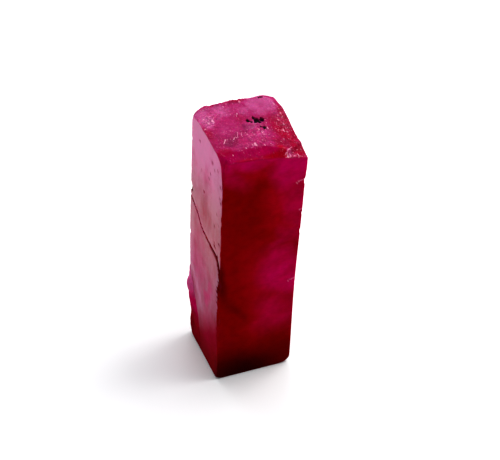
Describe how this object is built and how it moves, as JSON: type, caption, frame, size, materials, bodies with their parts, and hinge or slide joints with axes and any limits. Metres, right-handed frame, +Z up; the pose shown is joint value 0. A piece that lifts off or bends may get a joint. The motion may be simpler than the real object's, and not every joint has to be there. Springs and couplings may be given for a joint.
{
  "type": "raw ruby crystal",
  "caption": "Upright square bar of raw ruby with sawn sides and foot, a broken sugary top, chipped edges and a crack across one side.",
  "frame": {"origin": "middle of the sawn foot that the bar stands on", "axes": "+Z up along the bar, +X along the front face towards its right end, +Y from the front face to the back"},
  "size_m": [0.0155, 0.0155, 0.0502],
  "materials": {
    "ruby": "frosted saw marks on the sides, sugary fracture on top"
  },
  "bodies": {
    "root": {"ruby_crystal": "ruby"}
  },
  "joints": []
}
